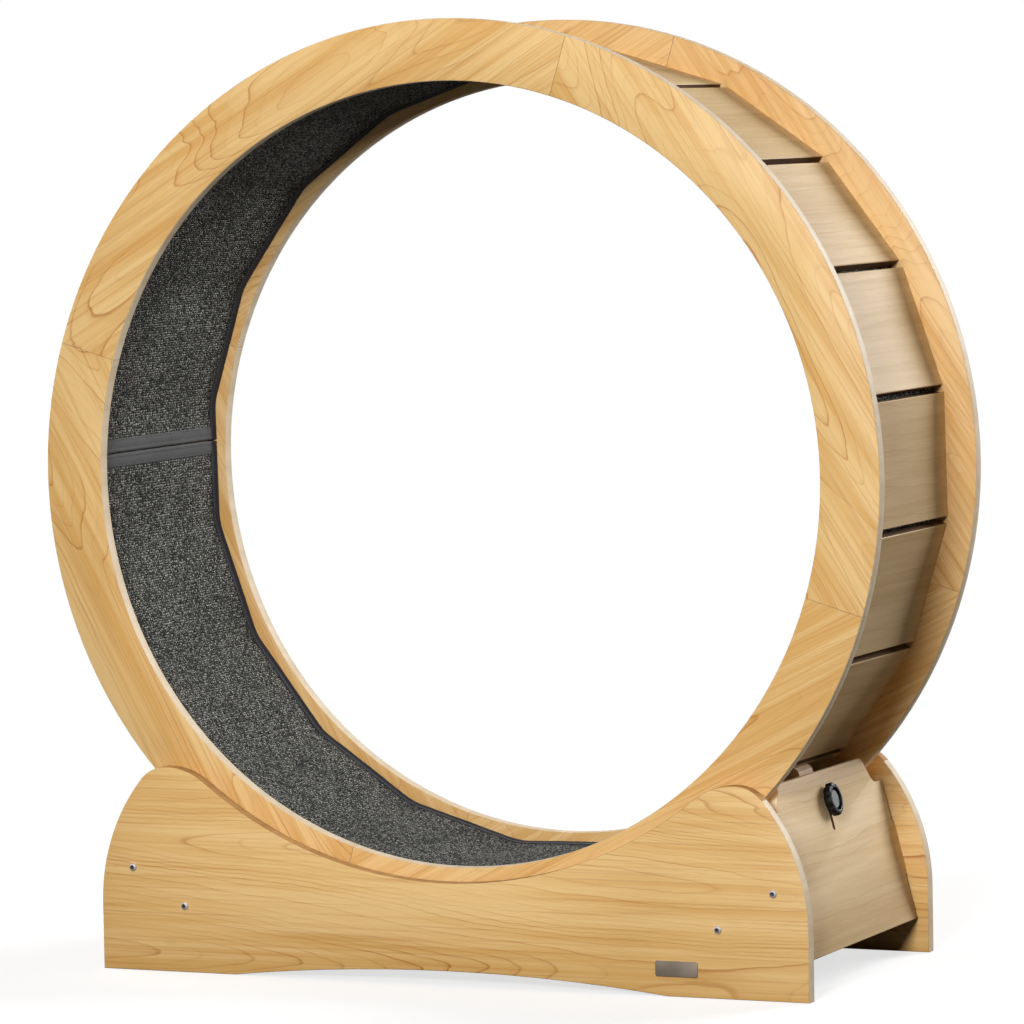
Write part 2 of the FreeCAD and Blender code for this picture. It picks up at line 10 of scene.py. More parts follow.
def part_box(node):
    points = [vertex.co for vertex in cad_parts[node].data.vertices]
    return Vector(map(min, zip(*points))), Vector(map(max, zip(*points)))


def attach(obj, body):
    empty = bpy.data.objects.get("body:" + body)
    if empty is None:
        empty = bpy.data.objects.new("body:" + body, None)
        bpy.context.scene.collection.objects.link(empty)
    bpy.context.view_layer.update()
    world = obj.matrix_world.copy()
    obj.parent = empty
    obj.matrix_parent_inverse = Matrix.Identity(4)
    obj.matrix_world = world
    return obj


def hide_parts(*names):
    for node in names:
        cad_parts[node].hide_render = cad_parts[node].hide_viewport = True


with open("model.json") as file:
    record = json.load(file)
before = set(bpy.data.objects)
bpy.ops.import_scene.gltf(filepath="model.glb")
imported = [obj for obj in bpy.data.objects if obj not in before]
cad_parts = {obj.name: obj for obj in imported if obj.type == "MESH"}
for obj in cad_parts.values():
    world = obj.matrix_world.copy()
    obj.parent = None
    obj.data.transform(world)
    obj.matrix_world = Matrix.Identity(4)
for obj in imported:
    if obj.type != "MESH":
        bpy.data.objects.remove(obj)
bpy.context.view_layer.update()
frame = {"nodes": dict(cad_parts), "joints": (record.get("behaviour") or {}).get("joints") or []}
nodes = frame["nodes"]
joints = {joint["name"]: joint for joint in frame["joints"]}
wheelCentre = Vector(joints["wheel_spin"]["pos_m"])
collection = bpy.context.scene.collection
print("frame loaded:", len(nodes), "nodes")


# the camera stands where the photograph was taken from
cameraLook = {
    "place": (2.5758, -5.8229, 0.9657),
    "azimuth": 23.857,  # degrees round from -Y towards +X
    "elevation": 4.128,  # degrees above the horizon
    "roll": -1.049,
    "lens": 199.97,
    "sensor": 36.0,
    "clipEnd": 60.0,
}


def makeCamera(look):
    turn, rise, roll = (math.radians(look[k]) for k in ("azimuth", "elevation", "roll"))
    back = Vector((math.sin(turn) * math.cos(rise), -math.cos(turn) * math.cos(rise), math.sin(rise)))
    right = Vector((0, 0, 1)).cross(back).normalized()
    up = back.cross(right)
    sideways = right * math.cos(roll) + up * math.sin(roll)
    upwards = up * math.cos(roll) - right * math.sin(roll)
    lens = bpy.data.cameras.new("camera")
    lens.lens = look["lens"]
    lens.sensor_width = look["sensor"]
    lens.clip_end = look["clipEnd"]
    camera = bpy.data.objects.new("camera", lens)
    axes = Matrix((sideways, upwards, back)).transposed().to_4x4()
    camera.matrix_world = Matrix.Translation(look["place"]) @ axes
    collection.objects.link(camera)
    bpy.context.scene.camera = camera


makeCamera(cameraLook)
print("camera set")


def srgb(red, green, blue):
    # linear colour for one given in steps of 255
    parts = []
    for part in (red, green, blue):
        part /= 255
        parts.append(part / 12.92 if part <= 0.04045 else ((part + 0.055) / 1.055) ** 2.4)
    return (*parts, 1.0)


def newMaterial(name):
    material = bpy.data.materials.new(name)
    material.use_nodes = True
    tree = material.node_tree
    shader = tree.nodes["Principled BSDF"]
    return material, tree, shader


def setSocket(tree, socket, value):
    if isinstance(value, bpy.types.NodeSocket):
        tree.links.new(value, socket)
    else:
        socket.default_value = value


def add(tree, kind, sockets=None, **settings):
    made = tree.nodes.new("ShaderNode" + kind)
    for key, value in settings.items():
        setattr(made, key, value)
    for key, value in (sockets or {}).items():
        setSocket(tree, made.inputs[key], value)
    return made


def calc(tree, operation, first, second=0.0):
    return add(tree, "Math", {0: first, 1: second}, operation=operation).outputs[0]


def weigh(tree, value, weight, onto):
    # adds a value, times its weight, onto another
    return add(tree, "Math", {0: value, 1: weight, 2: onto}, operation="MULTIPLY_ADD").outputs[0]


def mixColour(tree, factor, first, second):
    return add(tree, "Mix", {0: factor, 6: first, 7: second}, data_type="RGBA").outputs[2]


def ramp(tree, value, stops):
    made = add(tree, "ValToRGB", {0: value})
    band = made.color_ramp
    while len(band.elements) < len(stops):
        band.elements.new(0.5)
    for element, (place, colour) in zip(band.elements, stops):
        element.position = place
        element.color = colour if isinstance(colour, tuple) else (colour, colour, colour, 1)
    return made.outputs[0]


def spread(tree, value, low, high, fromLow=0.0, fromHigh=1.0):
    # turns values from fromLow to fromHigh into values from low to high
    made = add(tree, "MapRange", {0: value, 1: fromLow, 2: fromHigh, 3: low, 4: high})
    return made.outputs[0]


def stretched(tree, vector, scales, shift=(0, 0, 0)):
    return add(tree, "Mapping", {"Vector": vector, "Scale": scales, "Location": shift}).outputs[0]


def noise(tree, vector, scales=None, shift=(0, 0, 0), scale=1.0, detail=2.0, roughness=0.5):
    # the pattern is first stretched along each axis, if scales are given
    if scales:
        vector = stretched(tree, vector, scales, shift)
    return add(tree, "TexNoise", {"Vector": vector, "Scale": scale, "Detail": detail,
                                  "Roughness": roughness}).outputs[0]


def surface(tree, shader, colour, roughness, height, strength, depth, shine=0.5):
    # colour, roughness and relief of a finish
    shader.inputs["Specular IOR Level"].default_value = shine
    setSocket(tree, shader.inputs["Base Color"], colour)
    setSocket(tree, shader.inputs["Roughness"], roughness)
    bump = add(tree, "Bump", {"Height": height, "Strength": strength, "Distance": depth})
    setSocket(tree, shader.inputs["Normal"], bump.outputs[0])


pieceShift = (5.3, 3.1, 2.3)  # metres that the figure may be shifted by from one board to another


def boardCoordinates(tree, along, across):
    # position in the board's own directions: along the grain, across it, and through the board
    place = add(tree, "TexCoord").outputs["Object"]
    piece = add(tree, "ObjectInfo").outputs["Random"]
    deep = Vector(along).cross(Vector(across)).normalized()
    parts = []
    for step, axis in zip(pieceShift, (along, across, deep)):
        run = add(tree, "VectorMath", {0: place, 1: tuple(axis)}, operation="DOT_PRODUCT").outputs["Value"]
        parts.append(weigh(tree, piece, step, run))
    return add(tree, "CombineXYZ", {0: parts[0], 1: parts[1], 2: parts[2]}).outputs[0]


# clear wood of the rings and side plates
mapleLaminate = {
    "light": srgb(243, 204, 140),
    "body": srgb(228, 179, 107),
    "dark": srgb(182, 116, 52),
    "rings": 60.0,  # growth rings over the whole swing of the figure
    "lean": 34.0,  # growth rings per metre across the board, on top of the figure
    "figure": (0.75, 7.0),  # swings of the figure per metre, along and across the grain
    "waver": 0.0024,  # metres that a line strays sideways
    "flame": 0.030,  # metres that a line is drawn out along the grain
    "lineDepth": 0.92,
    "bands": 0.30,  # how far whole growth rings differ in tone
    "streaks": 0.70,  # depth of the broad streaks along the grain
    "hair": 0.26,  # depth of the hair lines between the growth rings
    "shine": 0.3,
    "roughness": 0.42,
    "bump": 0.10,
}
ringLaminate = dict(mapleLaminate, figure=(2.0, 10.0), rings=44.0, lean=46.0, flame=0.019, lineDepth=0.84,
                    streaks=0.95)
rearLaminate = dict(ringLaminate, lineDepth=0.60, light=srgb(236, 197, 136), body=srgb(220, 172, 104))
# paler wood of the slats and cross boards
paleBoard = {
    "light": srgb(231, 201, 155),
    "body": srgb(212, 179, 128),
    "dark": srgb(164, 122, 74),
    "rings": 9.0,
    "lean": 92.0,
    "figure": (0.9, 6.0),
    "waver": 0.0044,
    "flame": 0.014,
    "lineDepth": 0.19,
    "bands": 0.30,
    "streaks": 0.60,
    "hair": 0.10,
    "shine": 0.12,
    "roughness": 0.5,
    "bump": 0.12,
}
# lighter copy of the pale board wood for the end boards: painted light making up for the shade they get
endBoardLitWood = dict(paleBoard, light=srgb(240, 212, 167), body=srgb(224, 191, 142))
# banded edges, and the edges of the cradles under the wheel, coloured darker brown as painted shade cast by the
# wheel
bandLook = {
    "light": srgb(246, 227, 198),
    "dark": srgb(230, 207, 173),
    "worn": srgb(204, 172, 126),
    "roughness": 0.48,
}
cradleShadeLook = {
    "light": srgb(206, 156, 96),
    "dark": srgb(176, 128, 72),
    "worn": srgb(150, 106, 56),
    "roughness": 0.6,
}
# how the layers of the figure are stretched, in swings per metre along, across and through the board
woodLayers = {
    "waver": {"scales": (24.0, 30.0, 30.0), "roughness": 0.6},
    "drift": {"scales": (6.0, 13.0, 13.0), "shift": (2.0, 0.3, 5.0), "detail": 1.0},
    "flame": {"scales": (9.0, 44.0, 44.0), "shift": (0.7, 3.0, 1.0), "detail": 1.8},
    "patch": {"scales": (3.0, 11.0, 11.0), "shift": (3.1, 1.7, 0.4), "detail": 1.0},
    "tone": {"scales": (1.6, 16.0, 16.0), "shift": (0.6, 4.2, 7.7), "detail": 2.5},
    "fibre": {"scales": (22.0, 620.0, 620.0), "detail": 3.0, "roughness": 0.6},
    "streak": {"scales": (7.0, 230.0, 230.0), "shift": (5.0, 1.0, 2.0)},
    "broad": {"scales": (2.4, 88.0, 88.0), "shift": (9.0, 2.0, 6.0), "detail": 1.5},
    "pore": {"scales": (60.0, 1500.0, 1500.0), "detail": 1.0},
    "hair": {"scales": (3.5, 400.0, 400.0), "shift": (3.0, 8.0, 1.0), "detail": 1.0},
}
# darkness at each place in a growth ring
lateWood = [(0.0, 0.05), (0.06, 0.0), (0.66, 0.02), (0.86, 0.20),
            (0.93, 0.85), (0.95, 1.0), (0.97, 0.8), (1.0, 0.05)]


def woodNoise(tree, board, *layers):
    return [noise(tree, board, **woodLayers[layer]) for layer in layers]


def growthLines(tree, board, look):
    # how dark the late wood is at a point of the board, and a random share for the growth ring it is in
    alongSwing, acrossSwing = look["figure"]
    parts = add(tree, "SeparateXYZ", {0: board}).outputs
    waver, drift, flame = woodNoise(tree, board, "waver", "drift", "flame")
    sideways = weigh(tree, waver, look["waver"] * 2, parts[1])
    sideways = weigh(tree, drift, look["waver"] * 5, sideways)
    along = weigh(tree, flame, look["flame"] * 2, parts[0])
    place = add(tree, "CombineXYZ", {0: along, 1: sideways, 2: parts[2]}).outputs[0]
    figure = noise(tree, place, (alongSwing, acrossSwing, acrossSwing), detail=0.6, roughness=0.4)
    rings = weigh(tree, figure, look["rings"], calc(tree, "MULTIPLY", sideways, look["lean"]))
    late = ramp(tree, calc(tree, "FRACT", rings), lateWood)
    number = calc(tree, "FLOOR", rings)
    share = add(tree, "TexWhiteNoise", {"W": number}, noise_dimensions="1D").outputs["Value"]
    return late, share


def woodMaterial(name, look, along, across):
    material, tree, shader = newMaterial(name)
    board = boardCoordinates(tree, along, across)
    late, share = growthLines(tree, board, look)
    patch, tone, fibre, streak, broad, pore, hair = woodNoise(
        tree, board, "patch", "tone", "fibre", "streak", "broad", "pore", "hair")
    # the lines show in patches, and more in some growth rings than in others
    shown = calc(tree, "MULTIPLY", spread(tree, patch, 0.4, 1.0, 0.38, 0.6),
                 spread(tree, share, 0.22, 1.0, 0.2, 0.8))
    line = calc(tree, "MULTIPLY", late, shown)
    ground = weigh(tree, fibre, 0.30, spread(tree, tone, -0.22, 0.68, 0.3, 0.7))
    for layer, low, high, depth in ((streak, 0.3, 0.7, look["streaks"] * 0.6),
                                    (broad, 0.32, 0.68, look["streaks"])):
        ground = weigh(tree, spread(tree, layer, -0.5, 0.5, low, high), depth, ground)
    ground = weigh(tree, share, look["bands"], calc(tree, "ADD", ground, -look["bands"] / 2 + 0.06))
    fleck = calc(tree, "ADD", spread(tree, pore, 0.0, 0.12, 0.58, 0.72),
                 spread(tree, hair, 0.0, look["hair"], 0.54, 0.70))
    colour = mixColour(tree, weigh(tree, line, look["lineDepth"], fleck),
                       mixColour(tree, ground, look["light"], look["body"]), look["dark"])
    roughness = weigh(tree, fibre, 0.14, look["roughness"] - 0.07)
    roughness = weigh(tree, line, 0.06, roughness)
    height = weigh(tree, line, -0.5, calc(tree, "MULTIPLY", fibre, 0.6))
    surface(tree, shader, colour, roughness, height, look["bump"], 0.0004, look["shine"])
    return material


def bandMaterial(name, look, along, across):
    material, tree, shader = newMaterial(name)
    board = boardCoordinates(tree, along, across)
    streak = noise(tree, board, (6.0, 60.0, 60.0), detail=3.0)
    grit = noise(tree, board, (700.0, 700.0, 700.0))
    rub = noise(tree, board, (14.0, 14.0, 14.0), (8.0, 2.0, 5.0), detail=4.0)
    factor = weigh(tree, grit, 0.3, spread(tree, streak, -0.1, 0.8, 0.3, 0.7))
    colour = mixColour(tree, spread(tree, rub, 0.0, 0.25, 0.56, 0.75),
                       mixColour(tree, factor, look["light"], look["dark"]), look["worn"])
    roughness = spread(tree, grit, look["roughness"] - 0.06, look["roughness"] + 0.08)
    surface(tree, shader, colour, roughness, grit, 0.12, 0.0003, 0.15)
    return material


def planeDirections(degrees):
    # grain and cross-grain directions for a board that stands in the XZ plane
    a = math.radians(degrees)
    return (math.cos(a), 0, math.sin(a)), (-math.sin(a), 0, math.cos(a))


edgeBand = bandMaterial("edgeBand", bandLook, (0, 1, 0), (1, 0, 0))
# painted shade for the edges of the cradles that lie under the wheel
cradleShadeEdge = bandMaterial("cradleShadeEdge", cradleShadeLook, (0, 1, 0), (1, 0, 0))
print("wood materials made")


weldDistance = 2e-6
flatAngle = math.radians(0.4)  # faces that meet at less than this are one flat face
flush = 1e-5  # points nearer than this to a plane are in it
boardSharp = 35  # degrees


def meshOf(name, shape):
    mesh = bpy.data.meshes.new(name)
    shape.to_mesh(mesh)
    shape.free()
    return mesh


def settle(name, mesh, materials, body, replaced, sharp):
    # the mesh becomes a piece that rides on a body; its edges stay crisp where they turn by more than sharp
    for material in materials:
        mesh.materials.append(material)
    mesh.set_sharp_from_angle(angle=math.radians(sharp))
    piece = bpy.data.objects.new(name, mesh)
    collection.objects.link(piece)
    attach(piece, body)
    if replaced:
        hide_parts(*replaced)
    return piece


def easedBoard(name, node, ease, isOutline, isFace, materials, body, isShadedWall=None, reshape=None):
    # copy of a packed board with whole flat faces, eased edges and banded sides; the materials are those
    # of the faces, of the banded edges, and of walls with painted shade if there are any
    shape = bmesh.new()
    shape.from_mesh(nodes[node].data)
    bmesh.ops.remove_doubles(shape, verts=shape.verts, dist=weldDistance)
    bmesh.ops.dissolve_limit(shape, angle_limit=flatAngle, verts=shape.verts, edges=shape.edges)
    if reshape:
        reshape(shape)
    if ease:
        chosen = [edge for edge in shape.edges if not edge.is_boundary and isOutline(edge)]
        bmesh.ops.bevel(shape, geom=chosen, offset=ease, segments=2, profile=0.5,
                        affect="EDGES", clamp_overlap=True)
    for face in shape.faces:
        flat = isFace(face.normal)
        face.material_index = 0 if flat else min(1, len(materials) - 1)
        if isShadedWall and not flat and isShadedWall(face):
            face.material_index = 2
        face.smooth = not flat
    for layer in list(shape.loops.layers.uv):
        shape.loops.layers.uv.remove(layer)
    bmesh.ops.recalc_face_normals(shape, faces=shape.faces)
    return settle(name, meshOf(name, shape), materials, body, [node], boardSharp)


def reachInWheel(point):
    # distance from the wheel's axis
    return math.hypot(point.x - wheelCentre.x, point.z - wheelCentre.z)


def runsInFace(edge, outwards, faces):
    # whether an edge lies in a face of a board; faces are where the two lie along the outward direction
    a, b = (vert.co.dot(outwards) for vert in edge.verts)
    return abs(a - b) < flush and min(abs(a - face) for face in faces) < 2 * flush


def bordersWholeWall(edge, outwards, faces):
    # the walls of a board's outline span its whole thickness, and those of its pockets do not
    walls = [face for face in edge.link_faces if abs(face.normal.dot(outwards)) < 0.5]
    span = [vert.co.dot(outwards) for face in walls[:1] for vert in face.verts]
    return bool(span) and max(span) - min(span) > (faces[1] - faces[0]) * 0.9


ringLook = {
    "ease": 0.0011,
    "grain": {1: 31, 2: -62, 3: 27, 4: -57},  # degrees of the grain of each quarter, seen from the front
    "rimBand": 0.0004,  # how near to a rim a point counts as on it
    "longest": 0.05,  # longest edge along a rim
}


def makeRings(look):
    outer = (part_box("rear_ring_segment_4")[1] - wheelCentre).x
    inner = min(reachInWheel(vert.co) for vert in nodes["front_ring_segment_1"].data.vertices)
    outwards = Vector((0, 1, 0))

    def onRim(vert):
        reach = reachInWheel(vert.co)
        return min(abs(reach - outer), abs(reach - inner)) < look["rimBand"]

    for side, laminate in (("front", ringLaminate), ("rear", rearLaminate)):
        for quarter, degrees in look["grain"].items():
            node = "%s_ring_segment_%d" % (side, quarter)

            def isOutline(edge, faces=[corner.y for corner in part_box(node)]):
                return (runsInFace(edge, outwards, faces) and all(onRim(vert) for vert in edge.verts)
                        and edge.calc_length() < look["longest"])

            along, across = planeDirections(degrees)
            grain = woodMaterial("ringGrain_%s_%d" % (side, quarter), laminate, along, across)
            easedBoard("ring_%s_%d" % (side, quarter), node, look["ease"], isOutline,
                       lambda normal: abs(normal.y) > 0.9, [grain, edgeBand], "wheel")


makeRings(ringLook)
print("rings made")


def islands(node):
    # separate solids of a node, as lists of points
    shape = bmesh.new()
    shape.from_mesh(nodes[node].data)
    bmesh.ops.remove_doubles(shape, verts=shape.verts, dist=weldDistance)
    left = dict.fromkeys(shape.verts)
    groups = []
    while left:
        stack = [next(iter(left))]
        del left[stack[0]]
        group = [stack[0].co.copy()]
        while stack:
            for edge in stack.pop().link_edges:
                for vert in edge.verts:
                    if vert in left:
                        del left[vert]
                        group.append(vert.co.copy())
                        stack.append(vert)
        groups.append(group)
    shape.free()
    return groups


def extent(points):
    low = Vector([min(p[i] for p in points) for i in range(3)])
    high = Vector([max(p[i] for p in points) for i in range(3)])
    return low, high


boltExtents = [extent(points) for points in islands("joining_bolts")]
boltPlaces = [(low + high) / 2 for low, high in boltExtents]
plateLook = {
    "ease": 0.0012,
    "cradleReach": 0.506,  # metres from the wheel's axis; the edges nearer than this get the cradles' painted shade
    "holeReach": 0.008,  # metres round a bolt where edges stay sharp
}


def makeSidePlates(look):
    grain = woodMaterial("plateGrain", mapleLaminate, (1, 0, 0), (0, 0, 1))
    outwards = Vector((0, 1, 0))

    def inHole(point):
        return any(math.hypot(point.x - bolt.x, point.z - bolt.z) < look["holeReach"] for bolt in boltPlaces)

    for side in ("front", "rear"):
        node = side + "_side_plate"

        def isOutline(edge, faces=[corner.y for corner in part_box(node)]):
            a, b = (vert.co for vert in edge.verts)
            return (runsInFace(edge, outwards, faces) and bordersWholeWall(edge, outwards, faces)
                    and not inHole((a + b) / 2))

        # walls nearer the wheel than cradleReach take the cradles' painted shade
        easedBoard("plate_" + side, node, look["ease"], isOutline,
                   lambda normal: abs(normal.y) > 0.9, [grain, edgeBand, cradleShadeEdge], "base",
                   lambda face: reachInWheel(face.calc_center_median()) < look["cradleReach"])


makeSidePlates(plateLook)
print("side plates made")


# sawn edges of the slats, and of the slot and ends of the cross boards, coloured dark brown as painted shade of
# the gaps and joints they face
sawnShadeLook = {
    "cut": srgb(126, 90, 50),
    "cutDark": srgb(78, 52, 26),
}


def shadedCutEdgeMaterial(look):
    material, tree, shader = newMaterial("sawnEdgeShade")
    place = add(tree, "TexCoord").outputs["Object"]
    fibre = noise(tree, place, (900.0, 260.0, 900.0), detail=3.0, roughness=0.65)
    saw = noise(tree, place, (60.0, 14.0, 60.0))
    factor = weigh(tree, fibre, 0.6, spread(tree, saw, -0.2, 0.5, 0.3, 0.7))
    surface(tree, shader, mixColour(tree, factor, look["cut"], look["cutDark"]),
            spread(tree, fibre, 0.7, 0.95), fibre, 0.4, 0.0004, 0.2)
    return material


shadedCutEdge = shadedCutEdgeMaterial(sawnShadeLook)
crossBoardLook = {
    "ease": 0.0009,
    "slotHalf": 0.006,
    "endDepth": 0.0080,  # the ends take the painted shade of the joint this far from the side plates
    "shoulderGap": 0.0035,  # from a board's shoulders to the side plates, as packed
    "shoulderBand": 0.0002,  # how near to a shoulder a point counts as on it
    "drawnIn": 0.0018,  # how much further the shoulders stand off in the picture
}


def makeCrossBoards(look):
    slope = Vector(joints["brake_slide"]["axis"])
    outward = Vector(joints["brake_knob_turn"]["axis"])
    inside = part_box("rear_side_plate")[0].y
    ends = inside - look["endDepth"]
    shoulder = inside - look["shoulderGap"]

    def drawIn(shape):
        for vert in shape.verts:
            if abs(abs(vert.co.y) - shoulder) < look["shoulderBand"]:
                vert.co.y -= math.copysign(look["drawnIn"], vert.co.y)

    # walls of the slot, and ends near the side plates, which get the sawn edge with its painted shade
    def isShadedWall(face):
        reach = [abs(vert.co.y) for vert in face.verts]
        return max(reach) < look["slotHalf"] or min(reach) > ends

    for node, outwards, up in (
            ("brake_end_board", outward, slope),
            ("plain_end_board", Vector((-outward.x, 0, outward.z)), Vector((-slope.x, 0, slope.z)))):
        grain = woodMaterial("grain_" + node, endBoardLitWood, (0, 1, 0), tuple(up))
        reach = [vert.co.dot(outwards) for vert in nodes[node].data.vertices]

        def isOutline(edge, outwards=outwards, faces=(min(reach), max(reach))):
            return (runsInFace(edge, outwards, faces) and bordersWholeWall(edge, outwards, faces)
                    and max(abs(vert.co.y) for vert in edge.verts) >= look["slotHalf"])

        easedBoard("board_" + node, node, look["ease"], isOutline,
                   lambda normal, outwards=outwards: abs(normal.dot(outwards)) > 0.9,
                   [grain, edgeBand, shadedCutEdge], "base",
                   isShadedWall, drawIn)
    rest = woodMaterial("grain_hiddenBoards", paleBoard, (0, 1, 0), (1, 0, 0))
    for node in ("right_roller_board", "left_roller_board"):
        nodes[node].data.materials.clear()
        nodes[node].data.materials.append(rest)


makeCrossBoards(crossBoardLook)
print("cross boards made")


slatNodes = sorted(node for node in nodes if node.startswith("slat_"))


def makeSlats():
    for node in slatNodes:
        low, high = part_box(node)
        middle = (low + high) / 2 - wheelCentre
        outwards = Vector((middle.x, 0, middle.z)).normalized()
        across = Vector((-outwards.z, 0, outwards.x))
        grain = woodMaterial("grain_" + node, paleBoard, (0, 1, 0), tuple(across))
        # the slats' edges get the sawn edge with the painted shade of the gaps between slats
        easedBoard(node.replace("slat_", "slatBoard_"), node, 0, None,
                   lambda normal, outwards=outwards: abs(normal.dot(outwards)) > 0.6,
                   [grain, shadedCutEdge], "wheel")


makeSlats()
print("slats finished")


# carpet runner on the inside of the slats
carpetLook = {
    "thickness": 0.008,
    "sideGap": 0.0005,  # from the carpet's edge to a ring
    "seamAngle": 177.8,  # degrees round the wheel, from +X towards +Z
    "seamGap": 0.0022,
    "bend": 0.012,  # half the length of the bend between two slats
    "step": 0.0035,
    "unevenness": 0.0005,
    "fieldLong": 58,  # cells of the unevenness round the wheel
    "fieldWide": 10,
    "calmEdge": 0.003,  # the pile lies even this near to its long edges
    "loopAlong": 0.0029,
    "loopAcross": 0.0046,
    "loopHeight": 0.0007,
    # shade of the yarn, from the dark between its strands to their lit tips
    "tones": [(0.0, srgb(19, 20, 20)), (0.3, srgb(43, 44, 42)), (0.55, srgb(89, 90, 86)),
              (0.78, srgb(153, 153, 147)), (1.0, srgb(212, 212, 204))],
    "hollowShade": srgb(14, 14, 15),
}
tapeLook = {
    "width": 0.0130,
    "rise": 0.0011,  # over the pile
    "bead": 0.0024,  # over the pile, at the folded edge
    "outside": 0.00035,  # past the pile's edge
    "drift": 0.0006,  # how far its inner edge strays
    "step": 0.006,
    "seamWave": 0.00015,
    # section of a tape at the seam: distance from the pile's end, height over the pile
    "seamSection": [
        (-0.0003, -0.006), (-0.0003, 0.0), (0.0001, 0.0010), (0.0012, 0.0017), (0.0030, 0.0018),
        (0.0042, 0.0011), (0.0052, 0.0014), (0.0085, 0.0016), (0.0118, 0.0014), (0.0130, 0.0009),
        (0.0142, 0.0010), (0.0150, -0.0002), (0.0004, -0.0004), (0.0004, -0.006)],
}
stitchLook = {
    "pitch": 0.0046,
    "length": 0.0030,
    "radius": 0.00035,
    "inset": 0.0024,  # from the inner edge of a tape
    "start": 0.02,  # from the seam
    "height": 0.97,  # share of the tape's rise
    "seamRow": 0.0132,  # from the pile's end to the row of stitches along it
    "seamInset": 0.006,  # from the long rows to the seam's first stitch
    "seamRoom": 0.004,
    "seamHeight": 0.00115,
    "shoulders": (0.28, 0.72),  # shares of a stitch between which it is thickest
    "sides": 5,
}


def trackFlats():
    # angle and direction of every slat from the wheel's centre, and how far its inner face is, in order
    flats = []
    for node in slatNodes:
        points = [vert.co - wheelCentre for vert in nodes[node].data.vertices]
        middle = sum(points, Vector()) / len(points)
        direction = Vector((middle.x, 0, middle.z)).normalized()
        flats.append((math.atan2(direction.z, direction.x) % math.tau, direction,
                      min(point.dot(direction) for point in points)))
    flats.sort(key=lambda flat: flat[0])
    return flats


def makeTrackPath(look):
    flats = trackFlats()
    half = math.pi / len(flats)
    reach = flats[0][2] - look["thickness"]
    flatHalf = reach * math.tan(half)
    length = 2 * flatHalf * len(flats)

    def onFlat(index, run):
        direction = flats[index % len(flats)][1]
        tangent = Vector((-direction.z, 0, direction.x))
        return direction * reach + tangent * run, -direction

    def at(distance):
        # point of the pile's ground and the direction towards the wheel's centre
        distance %= length
        index = int(distance // (2 * flatHalf))
        run = distance - index * 2 * flatHalf - flatHalf
        bend = look["bend"]
        if abs(run) <= flatHalf - bend:
            return onFlat(index, run)
        nextOne = index + 1 if run > 0 else index
        first, inOne = onFlat(nextOne - 1, flatHalf - bend)
        corner = onFlat(nextOne - 1, flatHalf)[0]
        last, inTwo = onFlat(nextOne, bend - flatHalf)
        along = run - (flatHalf - bend) if run > 0 else run + flatHalf + bend
        t = along / (2 * bend)
        point = first * (1 - t) ** 2 + corner * 2 * t * (1 - t) + last * t ** 2
        return point, inOne.lerp(inTwo, t).normalized()

    start = math.radians(look["seamAngle"])
    index = min(range(len(flats)), key=lambda i: abs(flats[i][0] - start))
    offset = flats[index][2] * math.tan(start - flats[index][0])
    seam = index * 2 * flatHalf + flatHalf + offset
    return at, length, seam


trackPoint, trackLength, seamPlace = makeTrackPath(carpetLook)
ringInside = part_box("rear_ring_segment_1")[0].y
carpetSide = ringInside - carpetLook["sideGap"]


def trackPosition(distance, sideways, height):
    point, inwards = trackPoint(seamPlace + distance)
    return wheelCentre + point + inwards * height + Vector((0, sideways, 0))


def bandRows(stations, section):
    # section(distance) gives the points of a band's section at a station, as (sideways, height)
    return [[(trackPosition(distance, y, h), distance, y) for y, h in section(distance)]
            for distance in stations]


def loftBand(name, rows):
    # skin over rows of (place, u, v), each a closed loop of points, with both ends capped
    shape = bmesh.new()
    layer = shape.loops.layers.uv.new("weave")
    made = [[(shape.verts.new(place), u, v) for place, u, v in row] for row in rows]
    for a, b in zip(made, made[1:]):
        for k in range(len(a)):
            m = (k + 1) % len(a)
            corners = (a[k], a[m], b[m], b[k])
            face = shape.faces.new([corner[0] for corner in corners])
            face.smooth = True
            for loop, corner in zip(face.loops, corners):
                loop[layer].uv = corner[1:]
    shape.faces.new([corner[0] for corner in made[0]])
    shape.faces.new([corner[0] for corner in reversed(made[-1])])
    bmesh.ops.recalc_face_normals(shape, faces=shape.faces)
    return meshOf(name, shape)


def evenly(first, last, step):
    count = max(1, round((last - first) / step))
    return [first + (last - first) * i / count for i in range(count + 1)]


